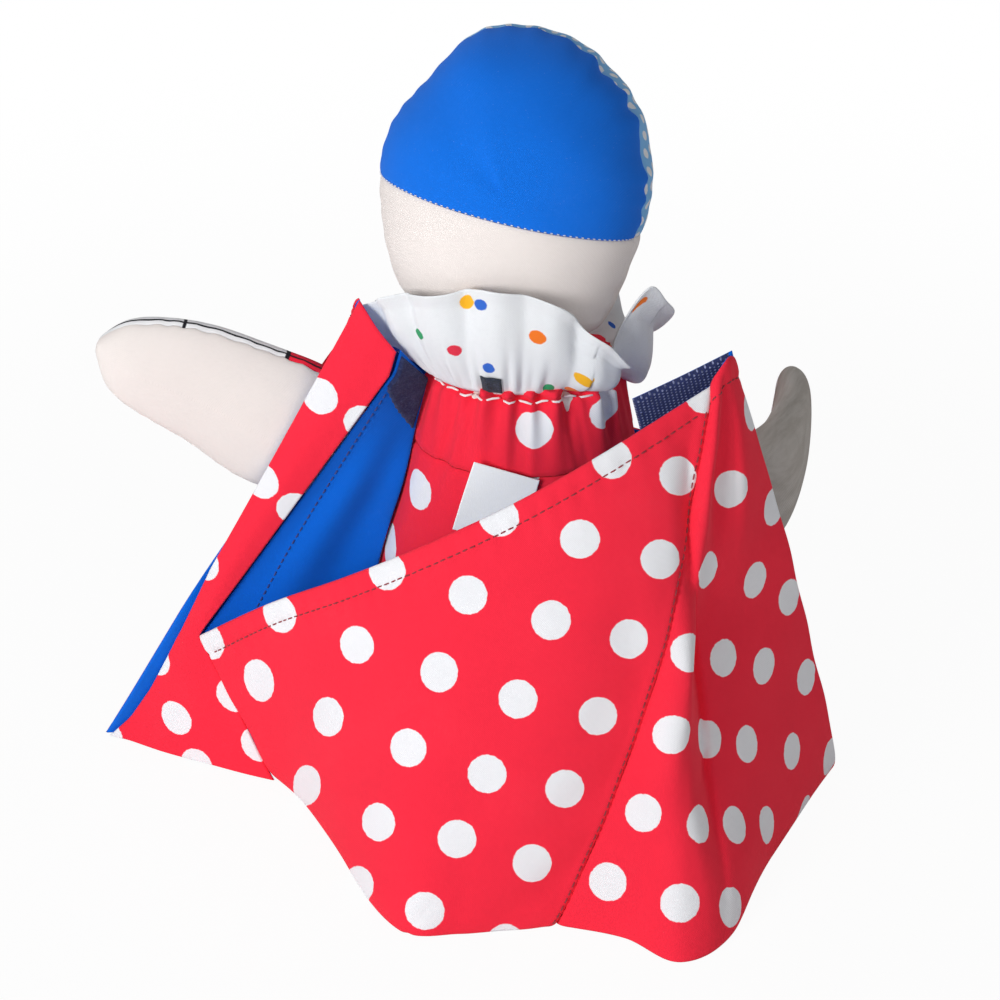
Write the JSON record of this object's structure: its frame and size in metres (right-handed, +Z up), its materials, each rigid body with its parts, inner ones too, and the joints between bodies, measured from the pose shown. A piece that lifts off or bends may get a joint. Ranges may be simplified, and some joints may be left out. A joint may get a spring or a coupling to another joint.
{
  "type": "clown doll",
  "caption": "Stuffed cloth clown doll with blue cap, ruffle collar and mitten arms, in a red dotted, blue-lined tunic left open at the back",
  "frame": {"origin": "middle of the flat stuffed base, on the surface that the doll stands on", "axes": "+Z up, +Y the way the doll faces, +X to the doll's right"},
  "size_m": [0.2763, 0.2532, 0.2776],
  "materials": {
    "cap_blue": "matte",
    "cream_cotton": "matte",
    "dotted_red": "matte",
    "lining_blue": "matte",
    "navy_tape": "matte",
    "charcoal_tape": "matte",
    "dotted_white": "matte",
    "printed_front": "matte",
    "white_thread": "matte",
    "stuffing": "matte",
    "pellets": "matte"
  },
  "bodies": {
    "body": {"torso_back_yoke": "dotted_red", "torso_back_panel": "dotted_red", "torso_front_panel": "dotted_red", "torso_base_panel": "dotted_red", "torso_stuffing": "stuffing", "bean_pouch": "pellets", "neck_gather_thread": "white_thread", "collar_ruffle": "dotted_white", "collar_closure_tape": "charcoal_tape", "care_label": "white_thread", "tunic_left_panel": "dotted_red", "tunic_left_lining": "lining_blue", "tunic_back_panel": "dotted_red", "tunic_back_lining": "lining_blue", "tunic_side_panel": "dotted_red", "tunic_side_lining": "lining_blue", "tunic_front_panel": "dotted_red", "tunic_front_lining": "lining_blue", "tunic_shoulder_strap": "dotted_red", "underlap": "lining_blue", "loop_tape": "navy_tape"},
    "head": {"head_back_cap": "cap_blue", "head_back_nape": "cream_cotton", "head_front_cap": "printed_front", "head_face": "cream_cotton", "head_stuffing": "stuffing"},
    "neck": {"neck_stem": "cream_cotton"},
    "left_arm": {"left_arm_back": "cream_cotton", "left_arm_front": "printed_front", "left_arm_stuffing": "stuffing"},
    "right_arm": {"right_arm_back": "cream_cotton", "right_arm_front": "printed_front", "right_arm_stuffing": "stuffing"},
    "tab": {"tab_strap": "lining_blue", "hook_tape": "navy_tape"}
  },
  "joints": [
    {"name": "head_turn", "type": "hinge", "parent": "body", "child": "neck", "pos_m": [-0.00608, 0.00039, 0.18128], "axis": [0.135, 0.2419, 0.9609], "range_deg": [-30, 30], "stiffness_Nm_per_rad": 0.3},
    {"name": "head_nod", "type": "hinge", "parent": "neck", "child": "head", "pos_m": [-0.00608, 0.00039, 0.18128], "axis": [-1, 0, 0], "range_deg": [-6, 12], "stiffness_Nm_per_rad": 1.2},
    {"name": "left_arm_swing", "type": "hinge", "parent": "body", "child": "left_arm", "pos_m": [-0.05832, 0, 0.124], "axis": [0, 1, 0], "range_deg": [-25, 12], "stiffness_Nm_per_rad": 0.3},
    {"name": "right_arm_swing", "type": "hinge", "parent": "body", "child": "right_arm", "pos_m": [0.06422, 0, 0.108], "axis": [0.5, -0.866, 0], "range_deg": [-15, 10], "stiffness_Nm_per_rad": 0.3},
    {"name": "tab_fold", "type": "hinge", "parent": "body", "child": "tab", "pos_m": [0.0739, -0.0292, 0.1809], "axis": [0.23, 0.08, -0.9699], "range_deg": [0, 150], "stiffness_Nm_per_rad": 0.003}
  ]
}
